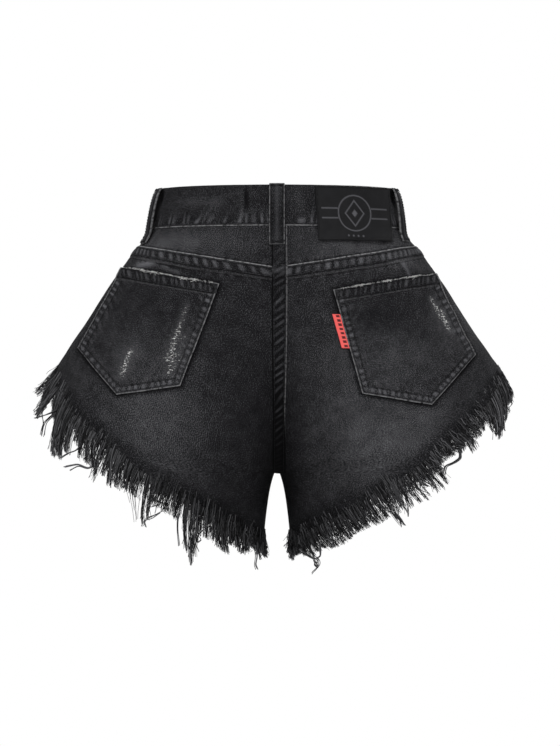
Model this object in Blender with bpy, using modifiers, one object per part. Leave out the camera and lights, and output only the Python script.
"""Flared cut-off denim shorts, hollow as when worn, with a frayed hem on each leg.

Metres, +Z up. The front faces -Y, the back faces +Y and the wearer's left is +X. The origin is the
centre of the waistband, where the wearer's waist holds the garment up.
"""

import math

import bpy
import numpy as np

# Cloth thicknesses and the space left between pieces that are sewn together.
CLOTH = 0.0016
BAND_RISE = 0.0008
POCKET_CLOTH = 0.0014
LOOP_CLOTH = 0.0016
LEATHER = 0.0016
TAB_CLOTH = 0.0010
SEAM_GAP = 0.0003
LAY_GAP = 0.0006
POCKET_GAP = 0.0008

# Heights of the seams, measured from the middle of the waistband.
BAND_HALF_HEIGHT = 0.020
YOKE_POINT_HEIGHT = -0.0608
YOKE_SLOPE = 0.17

# Felled seams stand up from the cloth beside them.
FELL_RISE = 0.0009
YOKE_FELL_WIDTH = 0.0105
BACK_FELL_WIDTHS = {"left": 0.0042, "right": 0.0086}
FELL_STEP = 0.0012

# The tube of one leg and half the seat: a front and a back half ellipse at each height. The inner
# edge is the near end of the ellipse: beyond the centre plane above the crotch, on the leg's own
# side below it.
SECTION_COLUMNS = ("height", "half_width", "front_depth", "back_depth", "inner_edge")
SECTIONS = (
    (0.030, 0.1160, 0.0850, 0.0885, -0.1160),
    (0.020, 0.1176, 0.0860, 0.0900, -0.1176),
    (-0.020, 0.1262, 0.0900, 0.0960, -0.1262),
    (-0.045, 0.1450, 0.0935, 0.1015, -0.1435),
    (-0.075, 0.1665, 0.0975, 0.1080, -0.1535),
    (-0.105, 0.1855, 0.1010, 0.1145, -0.1515),
    (-0.135, 0.2055, 0.1045, 0.1200, -0.1360),
    (-0.165, 0.2255, 0.1080, 0.1245, -0.1080),
    (-0.200, 0.2490, 0.1120, 0.1280, -0.0680),
    (-0.235, 0.2725, 0.1155, 0.1300, -0.0310),
    (-0.265, 0.2925, 0.1180, 0.1320, 0.0032),
    (-0.300, 0.3160, 0.1215, 0.1345, 0.0102),
    (-0.345, 0.3460, 0.1250, 0.1370, 0.0146),
)

# The cut edge of the cloth, as it is seen from behind: low at the inseam, high at the side seam.
HEM_COLUMNS = ("across", "height")
HEM = (
    (0.0125, -0.3310),
    (0.0400, -0.3130),
    (0.0700, -0.2950),
    (0.1000, -0.2770),
    (0.1300, -0.2570),
    (0.1600, -0.2350),
    (0.1850, -0.2140),
    (0.2080, -0.1900),
    (0.2260, -0.1670),
)

# Grid of each body panel.
BACK_COLUMNS = 18
FRONT_COLUMNS = 16
BACK_SEAT_ROWS = 13
FRONT_SEAT_ROWS = 14
INSEAM_ROWS = 4
YOKE_COLUMNS = 11
YOKE_ROWS = 4

# Waistband ring: the left end laps over the right end at the centre front.
BAND_STATIONS = 64
BAND_ROWS = 3
BAND_UNDERLAP = 0.030
BAND_OVERLAP = 0.018
BAND_TUCK = 0.0032
BAND_TUCK_LENGTH = 0.035

# Patch pockets on the seat, corners as seen from behind. The wearer's right one sits a little lower.
POCKET_CORNER_NAMES = ("top_inner", "top_outer", "low_outer", "tip", "low_inner")
POCKETS = {
    "pocket_left": (
        (0.0555, -0.0773),
        (0.1525, -0.0600),
        (0.1960, -0.1390),
        (0.1545, -0.1848),
        (0.0928, -0.1760),
    ),
    "pocket_right": (
        (-0.0545, -0.0831),
        (-0.1560, -0.0659),
        (-0.1947, -0.1458),
        (-0.1490, -0.1945),
        (-0.0822, -0.1832),
    ),
}
POCKET_TURN = 0.55  # how far the columns crowd towards the side, where the seat turns away
POCKET_COLUMNS = 10
POCKET_ROWS = 7
POCKET_HEM = 0.0110
POCKET_HEM_STEP = 0.0012
POCKET_HEM_RISE = 0.0007

# Leather patch on the wearer's right of the waistband and the woven tab beside the right pocket.
PATCH_ACROSS = (-0.0365, -0.1090)
PATCH_HEIGHTS = (0.0192, -0.0350)
TAB_TOP = (-0.0532, -0.0609, -0.1070)
TAB_BOTTOM = (-0.0624, -0.0700, -0.1397)

# Belt loops: name, side of the body, share of the way from centre to side seam at the top and at the foot,
# stand-off at mid length and height of the foot. The loops at the sides hang plumb while the cloth flares.
LOOP_COLUMNS = ("name", "face", "side", "share", "foot_share", "standoff", "foot")
LOOPS = (
    ("belt_loop_back", 1, 1, 0.000, 0.000, 0.0022, -0.0385),
    ("belt_loop_side_left", 1, 1, 0.850, 0.825, 0.0044, -0.0350),
    ("belt_loop_side_right", 1, -1, 0.850, 0.780, 0.0044, -0.0330),
    ("belt_loop_front_left", -1, 1, 0.520, 0.500, 0.0024, -0.0330),
    ("belt_loop_front_right", -1, -1, 0.520, 0.500, 0.0024, -0.0330),
)
LOOP_WIDTH = 0.0150
LOOP_TOP = 0.0213

# Waist button.
BUTTON_RADIUS = 0.0085
BUTTON_EDGE = 0.0022
BUTTON_DOME = 0.0034
BUTTON_NECK_RADIUS = 0.0042

# Frayed hem: a narrow strip parted from the cloth's cut edge, with locks of loose yarn.
FRINGE_GAP = 0.0013
FRINGE_STRIP = 0.0035
LOCKS_PER_LEG = 116
LOCK_SHARE = 0.70
LOCK_SEEDS = {"fringe_left": 11, "fringe_right": 29}

# How far the fray reaches, by distance from the centre plane, behind. The front has the other leg's.
REACH_COLUMNS = ("across", "length")
FRINGE_REACH = {
    "fringe_left": (
        (0.012, 0.027),
        (0.034, 0.026),
        (0.057, 0.035),
        (0.077, 0.058),
        (0.087, 0.034),
        (0.109, 0.030),
        (0.122, 0.046),
        (0.139, 0.035),
        (0.167, 0.032),
        (0.187, 0.042),
        (0.217, 0.043),
        (0.226, 0.033),
    ),
    "fringe_right": (
        (0.013, 0.016),
        (0.039, 0.034),
        (0.066, 0.031),
        (0.101, 0.028),
        (0.121, 0.042),
        (0.131, 0.034),
        (0.155, 0.045),
        (0.163, 0.036),
        (0.185, 0.026),
        (0.205, 0.040),
        (0.215, 0.030),
        (0.228, 0.020),
    ),
}

# Colours are linear, read from the washed black cloth and its trimmings.
COLOURS = {
    "black_denim": ((0.024, 0.025, 0.028, 1.0), 0.88, 0.0),
    "frayed_yarn": ((0.020, 0.021, 0.024, 1.0), 0.95, 0.0),
    "black_leather": ((0.011, 0.011, 0.012, 1.0), 0.55, 0.0),
    "red_tab": ((0.760, 0.052, 0.040, 1.0), 0.80, 0.0),
    "gunmetal": ((0.120, 0.120, 0.130, 1.0), 0.35, 1.0),
}


def smooth_curve(knots, values):
    """A function that passes through the values with no overshoot: cubic pieces with limited slopes."""
    order = np.argsort(knots)
    x = np.asarray(knots, float)[order]
    y = np.asarray(values, float)[order]
    run = np.diff(x)
    rise = np.diff(y) / run
    slope = np.empty_like(x)
    slope[0] = rise[0]
    slope[-1] = rise[-1]
    same_way = rise[:-1] * rise[1:] > 0
    harmonic = 2 * rise[:-1] * rise[1:] / np.where(same_way, rise[:-1] + rise[1:], 1.0)
    slope[1:-1] = np.where(same_way, harmonic, 0.0)

    def at(where):
        where = np.clip(np.asarray(where, float), x[0], x[-1])
        piece = np.clip(np.searchsorted(x, where) - 1, 0, len(run) - 1)
        t = (where - x[piece]) / run[piece]
        start = y[piece] * (1 + 2 * t) * (1 - t) ** 2 + slope[piece] * run[piece] * t * (1 - t) ** 2
        end = y[piece + 1] * t * t * (3 - 2 * t) + slope[piece + 1] * run[piece] * t * t * (t - 1)
        return start + end

    return at


def table_curves(columns, rows, key):
    """One smooth curve for each column of a table, as functions of the key column."""
    values = {name: [row[i] for row in rows] for i, name in enumerate(columns)}
    return {name: smooth_curve(values[key], values[name]) for name in columns if name != key}


SECTION = table_curves(SECTION_COLUMNS, SECTIONS, "height")
HEM_HEIGHT = table_curves(HEM_COLUMNS, HEM, "across")["height"]
LOWEST = SECTIONS[-1][0]
FLARE_STRETCH = 1.18  # a sideways inset that leaves the slanted side as thick as the rest
SEAT_FULLNESS = 0.80  # below 1, the cloth near the inseam hangs straighter than an ellipse


def tube(height):
    """Middle and half width of the tube's section, and the angle where it meets the centre plane."""
    inner = SECTION["inner_edge"](height)
    outer = SECTION["half_width"](height)
    middle = (outer + inner) / 2
    half = (outer - inner) / 2
    meet = np.arccos(np.clip(-middle / half, -1, 1))
    return middle, half, meet


def surface(share, height, face, inset=0.0):
    """The tube at any share of the way from its centre seam or inseam (0) to its side seam (1)."""
    share, height = np.broadcast_arrays(np.asarray(share, float), np.asarray(height, float))
    middle, half, meet = tube(height)
    angle = meet * (1 - share)
    inner_half = np.clip(-np.cos(angle), 0, 1)
    flare = np.where(inner_half > 0, 1.0, FLARE_STRETCH)
    depth = SECTION["back_depth" if face > 0 else "front_depth"](height) - inset
    sine = np.sin(angle)
    ease = np.minimum(inner_half * 1.6, 1)
    fullness = 1 - (1 - SEAT_FULLNESS) * ease * ease * (3 - 2 * ease)
    x = middle + (half - inset * flare) * np.cos(angle)
    y = face * depth * np.sign(sine) * np.abs(sine) ** fullness
    return np.stack([x, y, height], axis=-1)


def body(share, height, face, inset=0.0):
    """The same points, kept clear of the seam planes between left and right, front and back."""
    points = surface(share, height, face, inset)
    points[..., 0] = np.maximum(points[..., 0], SEAM_GAP / 2)
    points[..., 1] = face * np.maximum(face * points[..., 1], SEAM_GAP / 2)
    return points


def share_at(across, height, face):
    """The share of the way round at which the body passes this distance from the centre plane."""
    middle, half, meet = tube(height)
    return 1 - np.arccos(np.clip((across - middle) / half, -1, 1)) / meet


def half_girth(height, face):
    """Length round the body from the centre seam to the side seam."""
    steps = body(np.linspace(0, 1, 60), height, face)
    return float(np.linalg.norm(np.diff(steps, axis=0), axis=1).sum())


def outward(share, height, face):
    """Unit normals of the body, pointing out."""
    step = 1e-4
    along = surface(share + step, height, face) - surface(share - step, height, face)
    down = surface(share, height - step, face) - surface(share, height + step, face)
    normal = face * np.cross(along, down)
    return normal / np.linalg.norm(normal, axis=-1, keepdims=True)


def crotch_height():
    """The height at which the tube's inner edge reaches the centre plane."""
    heights = np.linspace(LOWEST, 0.0, 4000)
    inner = SECTION["inner_edge"](heights)
    return float(heights[np.argmax(inner <= 0)])


def hem_line(way):
    """Share and height of the cut edge. way runs from 0 at the inseam to 1 at the side seam."""
    first, last = HEM[0][0], HEM[-1][0]
    across = first + (last - first) * (1 - np.cos(np.pi * way)) / 2
    height = HEM_HEIGHT(across)
    share = share_at(across, height, 1)
    share = np.where(way <= 0, 0.0, np.where(way >= 1, 1.0, share))
    return share, height


def yoke_line(way):
    """Height of the yoke seam, lowest at the centre back."""
    return YOKE_POINT_HEIGHT + YOKE_SLOPE * 0.139 * np.sin(np.pi * way / 2)


def rise_heights(top, bottom, seat_rows, inseam_rows, face):
    """Heights of the points down the centre seam and inseam, evenly spaced along the cloth."""
    crotch = crotch_height()
    fine = np.linspace(top, crotch, 1500)
    edge = body(0.0, fine, face)[:, 1:]
    length = np.concatenate([[0], np.cumsum(np.linalg.norm(np.diff(edge, axis=0), axis=1))])
    seat = np.interp(np.linspace(0, length[-1], seat_rows + 1), length, fine)
    inseam = np.linspace(crotch, bottom, inseam_rows + 1)[1:]
    return np.concatenate([seat, inseam])


def panel_grid(face, columns, seat_rows, top_line, fell, centre_fell, inset, raised=0.0):
    """Points of one face of a body panel, row by row from the top seam to the cut hem.

    fell and centre_fell are the widths of the felled bands along the top and the centre seam, or 0.
    raised lifts both bands.
    """
    way = np.linspace(0, 1, columns + 1)
    top = top_line(way) - SEAM_GAP / 2
    hem_share, hem = hem_line(way)
    band = [fell, fell + FELL_STEP] if fell else []
    start = top - (band[-1] if band else 0.0)
    centre = rise_heights(start[0], hem[0], seat_rows, INSEAM_ROWS, face)
    centre = (centre - start[0]) / (hem[0] - start[0])
    even = np.linspace(0, 1, len(centre))
    ease = np.minimum(way / 0.7, 1.0)
    ease = ease * ease * (3 - 2 * ease)
    down = centre[:, None] * (1 - ease) + even[:, None] * ease
    height = start + (hem - start) * down
    if band:
        height = np.vstack([top, top - fell, height])
    fallen = (top - height) / (top - hem)
    share = way + (hem_share - way) * fallen
    if centre_fell:
        height, share = add_centre_fell(height, share, face, centre_fell)
    points = body(share, height, face, inset)
    if raised:
        lift = np.zeros(height.shape)
        lift[:2] = raised
        lift[: seat_rows + 1, :2] = raised
        points = body(share, height, face, inset - lift)
    return points


def add_centre_fell(height, share, face, width):
    """Two more columns close to the centre seam, which bound the felled band there."""
    girth = np.array([half_girth(h, face) for h in height[:, 0]])
    near = width / girth
    far = (width + FELL_STEP) / girth
    first = share[:, 1]
    heights = [height[:, 0]]
    shares = [share[:, 0]]
    for at in (near, far):
        blend = at / first
        heights.append(height[:, 0] * (1 - blend) + height[:, 1] * blend)
        shares.append(at)
    height = np.column_stack([*heights, height[:, 1:]])
    share = np.column_stack([*shares, share[:, 1:]])
    return height, share


def mirrored(points, side):
    """The same points on the wearer's left (side 1) or right (side -1)."""
    return points * np.array([side, 1.0, 1.0])


def material(name):
    """A Principled material with the cloth's, leather's or metal's plain colour."""
    colour, roughness, metallic = COLOURS[name]
    found = bpy.data.materials.get(name)
    if found:
        return found
    made = bpy.data.materials.new(name)
    made.use_nodes = True
    made.diffuse_color = colour
    shader = made.node_tree.nodes["Principled BSDF"]
    shader.inputs["Base Color"].default_value = colour
    shader.inputs["Roughness"].default_value = roughness
    shader.inputs["Metallic"].default_value = metallic
    return made


def add_object(name, points, faces, slot):
    """An object in the garment's collection, with its faces turned outwards."""
    mesh = bpy.data.meshes.new(name)
    mesh.from_pydata([tuple(p) for p in points], [], faces)
    mesh.update()
    corner = [np.asarray(points)[list(f)] for f in faces]
    volume = sum(
        float(np.dot(c[0], np.cross(c[i], c[i + 1]))) for c in corner for i in range(1, len(c) - 1)
    )
    if volume < 0:
        mesh.flip_normals()
    mesh.materials.append(material(slot))
    mesh.shade_smooth()
    mesh.set_sharp_from_angle(angle=math.radians(40))
    made = bpy.data.objects.new(name, mesh)
    bpy.data.collections["denim_shorts"].objects.link(made)
    return made


def wall(name, inside, outside, slot):
    """A closed cloth wall lofted between two grids of points of the same shape."""
    rows, columns, _ = outside.shape
    count = rows * columns

    def number(layer, row, column):
        return layer * count + row * columns + column

    faces = []
    for row in range(rows - 1):
        for column in range(columns - 1):
            ring = [(row, column), (row + 1, column), (row + 1, column + 1), (row, column + 1)]
            faces.append([number(1, r, c) for r, c in ring])
            faces.append([number(0, r, c) for r, c in reversed(ring)])
    border = [(0, c) for c in range(columns)]
    border += [(r, columns - 1) for r in range(1, rows)]
    border += [(rows - 1, c) for c in range(columns - 2, -1, -1)]
    border += [(r, 0) for r in range(rows - 2, 0, -1)]
    for (r, c), (next_r, next_c) in zip(border, border[1:] + border[:1]):
        faces.append([number(1, r, c), number(1, next_r, next_c), number(0, next_r, next_c), number(0, r, c)])
    points = np.concatenate([inside.reshape(-1, 3), outside.reshape(-1, 3)])
    return add_object(name, points, faces, slot)


def make_body_panels():
    """Back and front panels, left and right."""
    for side, word in ((1, "left"), (-1, "right")):
        back = dict(
            face=1,
            columns=BACK_COLUMNS,
            seat_rows=BACK_SEAT_ROWS,
            top_line=yoke_line,
            fell=YOKE_FELL_WIDTH,
            centre_fell=BACK_FELL_WIDTHS[word],
        )
        inside = panel_grid(**back, inset=CLOTH)
        outside = panel_grid(**back, inset=0.0, raised=FELL_RISE)
        wall(f"back_{word}", mirrored(inside, side), mirrored(outside, side), "black_denim")
        front = dict(
            face=-1,
            columns=FRONT_COLUMNS,
            seat_rows=FRONT_SEAT_ROWS,
            top_line=lambda way: np.full(way.shape, -BAND_HALF_HEIGHT),
            fell=0.0,
            centre_fell=0.0,
        )
        inside = panel_grid(**front, inset=CLOTH)
        outside = panel_grid(**front, inset=0.0)
        wall(f"front_{word}", mirrored(inside, side), mirrored(outside, side), "black_denim")


def make_yokes():
    """The shaped pieces between the waistband and the back panels."""
    way = np.linspace(0, 1, YOKE_COLUMNS + 1)
    top = -BAND_HALF_HEIGHT - SEAM_GAP / 2
    bottom = yoke_line(way) + SEAM_GAP / 2
    down = np.linspace(0, 1, YOKE_ROWS + 1)[:, None]
    height = top + (bottom - top) * down
    share = np.broadcast_to(way, height.shape)
    for side, word in ((1, "left"), (-1, "right")):
        inside = mirrored(body(share, height, 1, CLOTH), side)
        outside = mirrored(body(share, height, 1, 0.0), side)
        wall(f"yoke_{word}", inside, outside, "black_denim")


def band_point(turn, height, inset):
    """A point of the waistband ring. turn runs once round from the centre front, by way of +X."""
    share = 1 - np.abs((turn * 2) % 1.0 - 0.5) * 2
    quarter = np.floor(turn * 4) % 4
    face = np.where((quarter == 0) | (quarter == 3), -1, 1)
    side = np.where(quarter < 2, 1, -1)
    half = SECTION["half_width"](height) - inset
    front = SECTION["front_depth"](height) - inset
    back = SECTION["back_depth"](height) - inset
    angle = np.pi / 2 * (1 - share)
    x = side * half * np.cos(angle)
    y = np.where(face > 0, back, -front) * np.sin(angle)
    return np.stack([x, y, height], axis=-1)


def make_waistband():
    """One strip round the waist. Its under end tucks inside the over end at the centre front."""
    girth = 2 * (half_girth(0.0, 1) + half_girth(0.0, -1))
    turns = np.linspace(-BAND_OVERLAP / girth, 1 + BAND_UNDERLAP / girth, BAND_STATIONS + 1)
    past = (1 - BAND_OVERLAP / girth - turns) * girth
    tuck = 1 - np.clip(past / BAND_TUCK_LENGTH, 0, 1)
    tuck = BAND_TUCK * tuck * tuck * (3 - 2 * tuck)
    height = np.linspace(BAND_HALF_HEIGHT, -BAND_HALF_HEIGHT, BAND_ROWS + 1)[:, None]
    height = np.broadcast_to(height, (BAND_ROWS + 1, BAND_STATIONS + 1))
    turns = np.broadcast_to(turns, height.shape)
    inside = band_point(turns, height, tuck + CLOTH)
    outside = band_point(turns, height, tuck - BAND_RISE)
    wall("waistband", inside, outside, "black_denim")


def make_pockets():
    """Five-sided patch pockets that lie on the back panels, with a thicker hem along the top."""
    for name, corners in POCKETS.items():
        side = 1 if corners[0][0] > 0 else -1
        corner = dict(zip(POCKET_CORNER_NAMES, np.array(corners) * (side, 1)))
        even = np.linspace(0, 1, POCKET_COLUMNS + 1)[:, None]
        across = even * (1 - POCKET_TURN) + np.sin(even * np.pi / 2) * POCKET_TURN
        top = corner["top_inner"] * (1 - across) + corner["top_outer"] * across
        inner_half = corner["low_inner"] * (1 - 2 * even) + corner["tip"] * 2 * even
        outer_half = corner["tip"] * (2 - 2 * even) + corner["low_outer"] * (2 * even - 1)
        bottom = np.where(even <= 0.5, inner_half, outer_half)
        drop = top[:, 1] - bottom[:, 1]
        hem = POCKET_HEM / drop
        step = (POCKET_HEM + POCKET_HEM_STEP) / drop
        rest = np.linspace(0, 1, POCKET_ROWS + 1)[1:, None]
        down = np.vstack([np.zeros_like(hem), hem, step, step + (1 - step) * rest])
        grid = top[None] * (1 - down[..., None]) + bottom[None] * down[..., None]
        height = grid[..., 1]
        share = share_at(grid[..., 0], height, 1)
        base = body(share, height, 1)
        normal = outward(share, height, 1)
        rise = np.full(share.shape, POCKET_GAP + POCKET_CLOTH)
        rise[:2] += POCKET_HEM_RISE
        inside = base + normal * POCKET_GAP
        outside = base + normal * rise[..., None]
        wall(name, mirrored(inside, side), mirrored(outside, side), "black_denim")


def make_patch():
    """Leather patch sewn to the waistband, its lower edge hanging free over the yoke."""
    across = np.linspace(*PATCH_ACROSS, 9)
    height = np.linspace(*PATCH_HEIGHTS, 5)[:, None]
    lean = (height - PATCH_HEIGHTS[0]) / (PATCH_HEIGHTS[1] - PATCH_HEIGHTS[0]) * 0.0035
    distance = np.abs(across) + lean
    height = np.broadcast_to(height, distance.shape)
    share = share_at(distance, height, 1)
    base = body(share, height, 1)
    normal = outward(share, height, 1)
    start = BAND_RISE + LAY_GAP
    inside = base + normal * start
    outside = base + normal * (start + LEATHER)
    wall("leather_patch", mirrored(inside, -1), mirrored(outside, -1), "black_leather")


def make_tab():
    """Narrow woven tab that sticks out of the right pocket's inner seam."""
    down = np.linspace(0, 1, 4)[:, None]
    over = np.array([0.0, 1.0])
    top = np.abs(TAB_TOP[0]) + (np.abs(TAB_TOP[1]) - np.abs(TAB_TOP[0])) * over
    bottom = np.abs(TAB_BOTTOM[0]) + (np.abs(TAB_BOTTOM[1]) - np.abs(TAB_BOTTOM[0])) * over
    across = top * (1 - down) + bottom * down
    height = np.broadcast_to(TAB_TOP[2] + (TAB_BOTTOM[2] - TAB_TOP[2]) * down, across.shape)
    share = share_at(across, height, 1)
    base = body(share, height, 1)
    normal = outward(share, height, 1)
    inside = base + normal * LAY_GAP
    outside = base + normal * (LAY_GAP + TAB_CLOTH)
    wall("pocket_tab", mirrored(inside, -1), mirrored(outside, -1), "red_tab")


def make_belt_loops():
    """Strips sewn down at both ends that bridge the waistband."""
    for name, face, side, share, foot_share, standoff, foot in LOOPS:
        height = np.linspace(LOOP_TOP, foot, 9)
        along = np.array([-0.5, 0.0, 0.5]) * LOOP_WIDTH
        down = np.linspace(0, 1, 9)
        bridge = np.sin(np.pi * down) ** 0.6 * (1.2 - 0.4 * down) * standoff
        seat = BAND_RISE * np.clip((height + BAND_HALF_HEIGHT + 0.006) / 0.006, 0, 1)
        gap = LAY_GAP + seat + bridge
        base, normal, tangent = loop_frame(share + (foot_share - share) * down, height, face)
        spine = base + normal * gap[:, None]
        inside = spine[:, None] + tangent[:, None] * along[None, :, None]
        outside = inside + normal[:, None] * LOOP_CLOTH
        wall(name, mirrored(inside, side), mirrored(outside, side), "black_denim")


def loop_frame(shares, height, face):
    """Base points, normals and tangents down a belt loop. At the centre line they lie in that plane."""
    base = body(shares, height, face)
    normal = outward(np.maximum(shares, 0.01), height, face)
    if shares[0] == 0:
        base[:, 0] = 0.0
        normal[:, 0] = 0.0
    flat = normal * np.array([1.0, 1.0, 0.0])
    flat /= np.linalg.norm(flat, axis=1, keepdims=True)
    tangent = np.cross(np.array([0.0, 0.0, 1.0]), flat)
    return base, flat, tangent


def make_button():
    """Domed shank button on the waistband at the centre front."""
    face_y = -(SECTION["front_depth"](0.0) + BAND_RISE + SEAM_GAP)
    profile = (
        (0.0, -BUTTON_DOME),
        (BUTTON_RADIUS * 0.55, -BUTTON_DOME * 0.93),
        (BUTTON_RADIUS * 0.88, -BUTTON_DOME * 0.72),
        (BUTTON_RADIUS, -BUTTON_EDGE * 0.75),
        (BUTTON_RADIUS * 0.93, -BUTTON_EDGE * 0.42),
        (BUTTON_NECK_RADIUS, -BUTTON_EDGE * 0.38),
        (BUTTON_NECK_RADIUS, 0.0),
        (0.0, 0.0),
    )
    mesh = bpy.data.meshes.new("waist_button")
    points = [(radius, 0.0, depth) for radius, depth in profile]
    edges = [(i, i + 1) for i in range(len(points) - 1)]
    mesh.from_pydata(points, edges, [])
    mesh.materials.append(material("gunmetal"))
    button = bpy.data.objects.new("waist_button", mesh)
    bpy.data.collections["denim_shorts"].objects.link(button)
    turn = button.modifiers.new("Turn", "SCREW")
    turn.steps = 20
    turn.render_steps = 20
    turn.use_merge_vertices = True
    turn.merge_threshold = 0.0001
    turn.use_normal_flip = True
    button.rotation_euler = (math.radians(-90), 0.0, 0.0)
    button.location = (0.0, float(face_y), 0.0)


def hem_ring(turn, inset):
    """Points of one leg's cut edge, straight between the panels' own points.

    turn runs once round from the inseam, by way of the back.
    """
    way = 1 - np.abs(1 - (turn % 1.0) * 2)
    edges = []
    for face, columns in ((1, BACK_COLUMNS), (-1, FRONT_COLUMNS)):
        stations = np.linspace(0, 1, columns + 1)
        share, height = hem_line(stations)
        corner = body(share, height, face, inset)
        edges.append(np.column_stack([np.interp(way, stations, corner[:, k]) for k in range(3)]))
    return np.where((turn % 1.0 < 0.5)[:, None], edges[0], edges[1])


def hem_normals(turn):
    """Unit normals of the cloth at the cut edge."""
    way = 1 - np.abs(1 - (turn % 1.0) * 2)
    share, height = hem_line(way)
    share = np.clip(share, 0.004, 0.998)
    return np.where((turn % 1.0 < 0.5)[:, None], outward(share, height, 1), outward(share, height, -1))


def lock_turns(count, lock_share):
    """Turns at which each lock starts and ends, so that all locks are equally wide."""
    fine = np.linspace(0, 1, 1601)
    ring = hem_ring(fine, 0.0)
    length = np.concatenate([[0], np.cumsum(np.linalg.norm(np.diff(ring, axis=0), axis=1))])
    starts = (np.arange(count) + (1 - lock_share) / 2) / count * length[-1]
    ends = starts + lock_share / count * length[-1]
    return np.interp(np.column_stack([starts, ends]).ravel(), length, fine)


def unit(vectors):
    return vectors / np.linalg.norm(vectors, axis=-1, keepdims=True)


def wavy(turn, waves, seed):
    """A smooth uneven ripple round the hem, from -1 to 1."""
    rng = np.random.default_rng(seed)
    phases = rng.uniform(0, 2 * np.pi, len(waves))
    total = sum(np.sin(2 * np.pi * n * turn + p) for n, p in zip(waves, phases))
    return total / len(waves)


def make_fringe(name, side, seed):
    """A ring of frayed locks on a narrow strip that lies just below the cut edge of one leg."""
    rng = np.random.default_rng(seed)
    turn = lock_turns(LOCKS_PER_LEG, LOCK_SHARE)
    outer = hem_ring(turn, 0.0)
    inner = hem_ring(turn, CLOTH)
    step = 1e-3
    along = unit(hem_ring(turn + step, 0.0) - hem_ring(turn - step, 0.0))
    out = hem_normals(turn)
    down = unit(np.cross(along, out))
    down *= np.where(down[:, 2:] > 0, -1, 1)
    gap = FRINGE_GAP
    rings = [inner + down * gap, outer + down * gap]
    rings += [inner + down * FRINGE_STRIP, outer + down * FRINGE_STRIP]
    points = list(np.concatenate(rings))
    count = len(turn)

    def number(ring, index):
        return ring * count + index % count

    faces = []
    for i in range(count):
        j = i + 1
        faces.append([number(1, i), number(3, i), number(3, j), number(1, j)])
        faces.append([number(0, i), number(0, j), number(2, j), number(2, i)])
        faces.append([number(0, i), number(1, i), number(1, j), number(0, j)])
        if i % 2:
            faces.append([number(2, i), number(2, j), number(3, j), number(3, i)])
    sideways = 1 - np.abs(1 - turn * 2)
    lean = wavy(turn, (5, 9, 14), seed) * 0.30
    behind = np.array(FRINGE_REACH["fringe_left" if side > 0 else "fringe_right"])
    before = np.array(FRINGE_REACH["fringe_right" if side > 0 else "fringe_left"])
    reach = np.where(
        turn < 0.5,
        np.interp(outer[:, 0], behind[:, 0], behind[:, 1]),
        np.interp(outer[:, 0], before[:, 0], before[:, 1]),
    )
    splay = wavy(turn, (6, 13, 17), seed + 2) * 0.20 + 0.08 * sideways**4
    weight = 1 - 0.65 * sideways**5
    for i in range(0, count, 2):
        base = [number(2, i), number(2, i + 1), number(3, i + 1), number(3, i)]
        corners = np.array([points[b] for b in base])
        centre = corners.mean(axis=0)
        length = reach[i] * rng.uniform(0.84, 1.10)
        direction = down[i] + along[i] * (lean[i] + rng.uniform(-0.05, 0.05)) + out[i] * splay[i]
        ring = base
        for part, droop, keep in ((0.38, 0.10, 0.82), (0.36, 0.45, 0.62)):
            direction = unit(direction + np.array([0.0, 0.0, -droop * weight[i]]))
            centre = centre + direction * length * part
            spread = (corners - corners.mean(axis=0)) * keep
            corners = centre + spread
            first = len(points)
            points += list(corners)
            new = [first, first + 1, first + 2, first + 3]
            faces += [[ring[k], ring[(k + 1) % 4], new[(k + 1) % 4], new[k]] for k in range(4)]
            ring = new
        direction = unit(direction + np.array([0.0, 0.0, -0.4 * weight[i]]))
        points.append(centre + direction * length * 0.26)
        tip = len(points) - 1
        faces += [[ring[k], ring[(k + 1) % 4], tip] for k in range(4)]
    add_object(name, mirrored(np.array(points), side), faces, "frayed_yarn")


def main():
    for old in list(bpy.data.objects):
        bpy.data.objects.remove(old, do_unlink=True)
    garment = bpy.data.collections.new("denim_shorts")
    bpy.context.scene.collection.children.link(garment)
    make_waistband()
    make_yokes()
    make_body_panels()
    make_pockets()
    make_patch()
    make_tab()
    make_belt_loops()
    make_button()
    make_fringe("fringe_left", 1, LOCK_SEEDS["fringe_left"])
    make_fringe("fringe_right", -1, LOCK_SEEDS["fringe_right"])


main()
